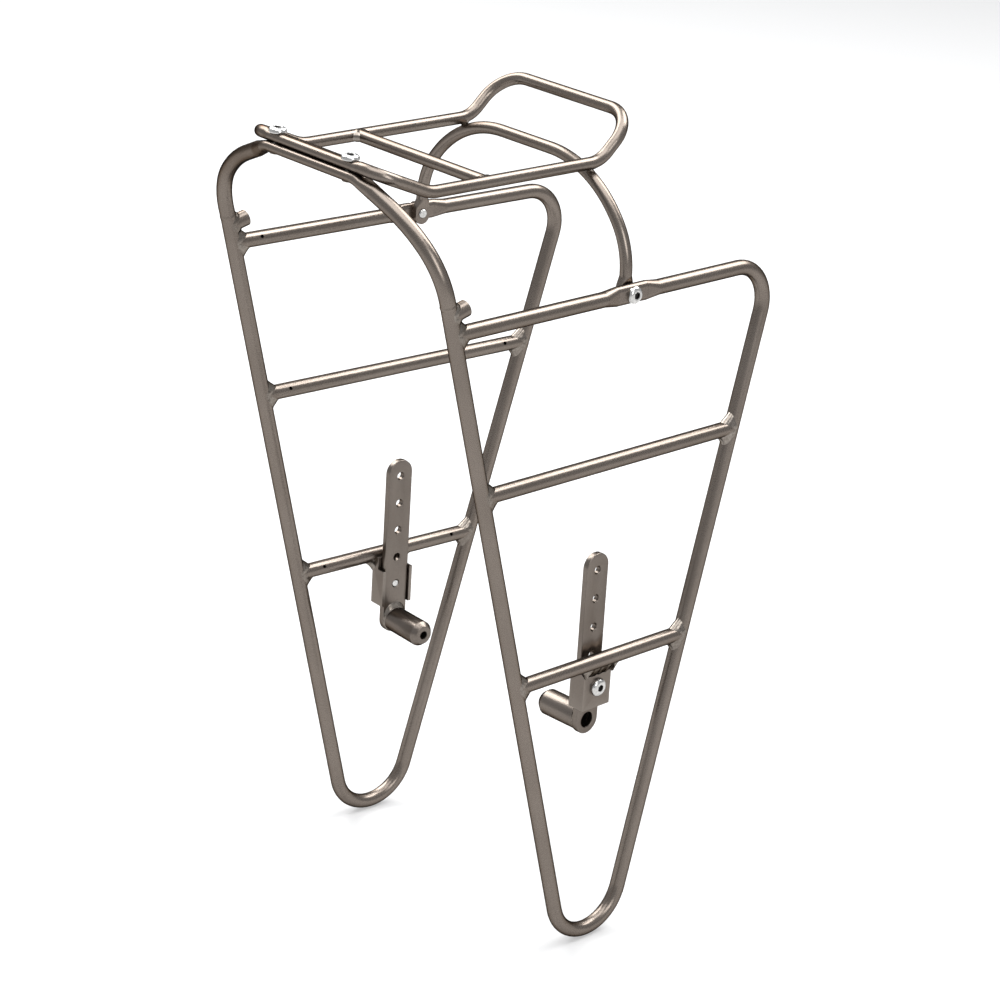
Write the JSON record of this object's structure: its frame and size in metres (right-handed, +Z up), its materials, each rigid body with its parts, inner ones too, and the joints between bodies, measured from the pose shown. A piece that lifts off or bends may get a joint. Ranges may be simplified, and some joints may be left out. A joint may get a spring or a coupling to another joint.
{
  "type": "bicycle pannier rack",
  "caption": "Tubular pannier rack with two V-shaped side frames joined by an arch and a stay, a bolted top deck with a raised backstop, and slotted adjustable feet.",
  "frame": {"origin": "midway between the two feet, on the line of the eyelet screws", "axes": "+X is the bicycle's left, +Y its rear and +Z up"},
  "size_m": [0.2274, 0.2929, 0.5223],
  "materials": {
    "frame_tube": "satin bronze-grey",
    "deck_tube": "satin bronze-grey",
    "feet": "satin bronze-grey",
    "screws": "polished stainless"
  },
  "bodies": {
    "root": {"side_tube_left": "frame_tube", "side_tube_right": "frame_tube", "mid_rung_left": "frame_tube", "mid_rung_right": "frame_tube", "low_rung_left": "frame_tube", "low_rung_right": "frame_tube", "seam_sleeve_left": "frame_tube", "seam_sleeve_right": "frame_tube", "strut_boss_left": "frame_tube", "strut_boss_right": "frame_tube", "front_arch": "frame_tube", "deck_loop": "deck_tube", "deck_strut": "deck_tube", "rear_stay": "deck_tube", "deck_inserts": "screws", "deck_screws": "screws", "stay_screws": "screws", "foot_channel_left": "feet", "foot_channel_right": "feet", "foot_screws": "screws"},
    "foot_left": {"foot_bar_left": "feet", "foot_barrel_left": "feet"},
    "foot_right": {"foot_bar_right": "feet", "foot_barrel_right": "feet"}
  },
  "joints": [
    {"name": "foot_slide_left", "type": "slide", "parent": "root", "child": "foot_left", "axis": [0, 0, -1], "range_m": [0, 0.076]},
    {"name": "foot_slide_right", "type": "slide", "parent": "root", "child": "foot_right", "axis": [0, 0, -1], "range_m": [0, 0.076]}
  ]
}
